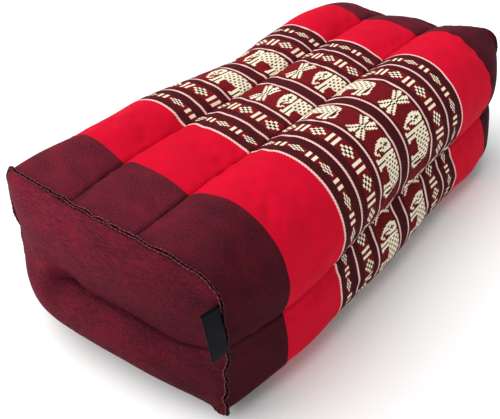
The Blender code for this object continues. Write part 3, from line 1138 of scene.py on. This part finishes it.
def make_label():
    """The folded tape: out from the seam on one side, round the fold and back on the other."""
    outs = np.linspace(-LABEL_IN_SEAM, LABEL_REACH, LABEL_STEPS)
    path = [(out, LABEL_LAYER) for out in outs]
    for angle in np.radians(LABEL_FOLD_ANGLES):
        path.append((LABEL_REACH + LABEL_FOLD * np.cos(angle), LABEL_FOLD * np.sin(angle)))
    path += [(out, -LABEL_LAYER) for out in outs[::-1]]
    rim = corner_line()
    rows = []
    for share in np.linspace(0, 1, LABEL_ROWS):
        z = mix(LABEL_LOW, LABEL_HIGH, share)
        turn = np.radians(mix(LABEL_LOW_TURN, LABEL_HIGH_TURN, share))
        rows.append([label_point(rim, z, turn, out, aside) for out, aside in path])
    points = np.array(rows).reshape(-1, 3) + CENTRED
    thing = mesh_object("label_tape", points, grid_faces(LABEL_ROWS, len(path)))
    solid = thing.modifiers.new("thickness", "SOLIDIFY")
    solid.thickness = LABEL_LAYER
    solid.offset = 0
    return thing


def new_material(name):
    material = bpy.data.materials.new(name)
    material.use_nodes = True
    return material, material.node_tree, material.node_tree.nodes["Principled BSDF"]


def feed(tree, socket, value):
    """Sets a socket to a number or a colour, or links it to another node."""
    if isinstance(value, (int, float)):
        socket.default_value = value
    elif isinstance(value, tuple):
        socket.default_value = (*value, 1.0)
    else:
        tree.links.new(value, socket)


def maths(tree, operation, first, second):
    node = tree.nodes.new("ShaderNodeMath")
    node.operation = operation
    feed(tree, node.inputs[0], first)
    feed(tree, node.inputs[1], second)
    return node.outputs[0]


def mixed(tree, share, first, second, blend="MIX"):
    node = tree.nodes.new("ShaderNodeMix")
    node.data_type = "RGBA"
    node.blend_type = blend
    feed(tree, node.inputs[0], share)
    feed(tree, node.inputs[6], first)
    feed(tree, node.inputs[7], second)
    return node.outputs[2]


def noise(tree, coordinates, scale, stretch=(1, 1, 1), detail=3.0):
    scaling = tree.nodes.new("ShaderNodeMapping")
    scaling.inputs["Scale"].default_value = stretch
    tree.links.new(coordinates, scaling.inputs["Vector"])
    node = tree.nodes.new("ShaderNodeTexNoise")
    node.inputs["Scale"].default_value = scale
    node.inputs["Detail"].default_value = detail
    tree.links.new(scaling.outputs[0], node.inputs["Vector"])
    return node.outputs["Fac"]


def contrast(tree, value, low, high):
    node = tree.nodes.new("ShaderNodeMapRange")
    node.inputs["From Min"].default_value = low
    node.inputs["From Max"].default_value = high
    tree.links.new(value, node.inputs["Value"])
    return node.outputs["Result"]


def stored(tree, name, output):
    """A value that paint stored on the mesh."""
    node = tree.nodes.new("ShaderNodeAttribute")
    node.attribute_name = name
    return node.outputs[output]


def surface(tree, shader, roughness, specular, height, strength, distance):
    """Sets how a woven surface shines and how its weave stands out."""
    shader.inputs["Roughness"].default_value = roughness
    shader.inputs["Specular IOR Level"].default_value = specular
    bump = tree.nodes.new("ShaderNodeBump")
    bump.inputs["Strength"].default_value = strength
    bump.inputs["Distance"].default_value = distance
    tree.links.new(height, bump.inputs["Height"])
    tree.links.new(bump.outputs[0], shader.inputs["Normal"])


def cloth_material(name, dark_yarn, roughness, streaks):
    """A plain weave in the stored colours, with two-coloured yarn where shot is stored."""
    material, tree, shader = new_material(name)
    woven = stored(tree, "woven", "Color")
    at = stored(tree, "cloth", "Vector")
    fine = noise(tree, at, WEAVE_SCALE, stretch=(1, 0.6, 1), detail=2.0)
    cross = noise(tree, at, WEAVE_SCALE, stretch=streaks, detail=2.0)
    weave = maths(tree, "ADD", fine, cross)
    patch = maths(tree, "MULTIPLY", noise(tree, at, scale=110, stretch=(1, 0.5, 1)), PATCHINESS)
    speck = contrast(tree, maths(tree, "ADD", weave, patch), low=0.94, high=1.44)
    tint = mixed(tree, speck, dark_yarn, BRIGHT_YARN)
    two_coloured = mixed(tree, 1.0, woven, tint, "MULTIPLY")
    ground = mixed(tree, stored(tree, "shot", "Fac"), woven, two_coloured)
    cloudy = contrast(tree, noise(tree, at, scale=60), low=0.3, high=0.75)
    darker = mixed(tree, maths(tree, "MULTIPLY", cloudy, CLOUDINESS), ground, BLACK)
    grain = contrast(tree, fine, low=0.25, high=0.80)
    final = mixed(tree, maths(tree, "MULTIPLY", grain, GRAININESS), darker, BLACK)
    tree.links.new(final, shader.inputs["Base Color"])
    surface(tree, shader, roughness, specular=0.06, height=weave, strength=0.25, distance=0.0003)
    return material


def label_material():
    """Plain black woven tape."""
    material, tree, shader = new_material("label tape weave")
    place = tree.nodes.new("ShaderNodeTexCoord")
    weave = noise(tree, place.outputs["Object"], scale=1500, stretch=(1, 1, 6))
    colour = mixed(tree, weave, LABEL_DARK, LABEL_LIGHT)
    tree.links.new(colour, shader.inputs["Base Color"])
    surface(tree, shader, roughness=0.55, specular=0.05, height=weave, strength=0.2, distance=0.0001)
    return material


def make_floor():
    bpy.ops.mesh.primitive_plane_add(size=FLOOR_SIZE, location=(0, 0, 0))
    floor = bpy.context.object
    floor.name = "floor"
    material, _, shader = new_material("pale floor")
    shader.inputs["Base Color"].default_value = FLOOR_GREY
    shader.inputs["Roughness"].default_value = FLOOR_ROUGHNESS
    floor.data.materials.append(material)


def make_sun():
    """One wide, soft, distant light."""
    lamp = bpy.data.lights.new("key", "SUN")
    lamp.energy = SUN_STRENGTH
    lamp.angle = np.radians(SUN_WIDTH)
    thing = bpy.data.objects.new("key", lamp)
    thing.location = SUN_FROM
    thing.rotation_euler = (-Vector(SUN_FROM)).to_track_quat("-Z", "Y").to_euler()
    bpy.context.scene.collection.objects.link(thing)


def make_world():
    world = bpy.data.worlds.new("soft room")
    world.use_nodes = True
    background = world.node_tree.nodes["Background"]
    background.inputs[0].default_value = WHITE
    background.inputs[1].default_value = ROOM_LIGHT
    bpy.context.scene.world = world


def make_camera():
    """The camera that was fitted to the photo."""
    data = bpy.data.cameras.new("camera")
    data.sensor_width = SENSOR_WIDTH
    data.lens = FOCAL_PIXELS / FRAME_WIDTH * SENSOR_WIDTH
    data.clip_start = CLIP_START
    camera = bpy.data.objects.new("camera", data)
    turn = Matrix.Rotation(AZIMUTH, 4, "Z") @ Matrix.Rotation(np.pi / 2 - ELEVATION, 4, "X")
    turn = turn @ Matrix.Rotation(ROLL, 4, "Z")
    camera.matrix_world = Matrix.Translation(Vector(EYE + CENTRED)) @ turn
    bpy.context.scene.collection.objects.link(camera)
    bpy.context.scene.camera = camera


def make_wrap(splits, starts, moved):
    """The cushion: six tubes of one striped cloth."""
    weave = cloth_material("wrap weave", WRAP_DARK_YARN, WRAP_ROUGHNESS, WRAP_STREAKS)
    edges, shows = columns()
    lips = [lip_rings(rim_of(end, splits), end, end.seed, -1) for end in (NEAR, FAR)]
    for channel in range(len(TUBES)):
        thing = make_tube(channel, edges, shows, starts, moved, lips, splits)
        thing.data.materials.append(weave)
        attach(thing, "root")
        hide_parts("cushion")


def make_panels(splits, moved):
    """Both end panels."""
    weave = cloth_material("panel weave", PANEL_DARK_YARN, PANEL_ROUGHNESS, PANEL_STREAKS)
    for end in (NEAR, FAR):
        thing = make_panel(end, splits, moved)
        thing.data.materials.append(weave)
        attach(thing, "root")
        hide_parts("end_panel_" + end.name)


def sew_in_label():
    """The label, as plain tape without its declarations."""
    label = make_label()
    label.data.materials.append(label_material())
    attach(label, "root")
    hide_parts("label")


def main():
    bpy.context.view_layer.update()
    moved = settled_body()
    starts = channel_starts()
    splits = [chart_rows(tube, length)[0] for tube, length in zip(TUBES, np.diff(starts))]
    make_wrap(splits, starts, moved)
    make_panels(splits, moved)
    sew_in_label()
    make_floor()
    make_world()
    make_sun()
    bpy.context.scene.view_settings.view_transform = "Standard"
    make_camera()


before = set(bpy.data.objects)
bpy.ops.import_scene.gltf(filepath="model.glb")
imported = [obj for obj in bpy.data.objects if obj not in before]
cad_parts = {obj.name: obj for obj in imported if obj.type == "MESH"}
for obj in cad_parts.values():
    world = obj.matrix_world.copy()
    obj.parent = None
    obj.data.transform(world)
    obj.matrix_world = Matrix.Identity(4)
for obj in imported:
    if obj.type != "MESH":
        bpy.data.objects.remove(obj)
main()
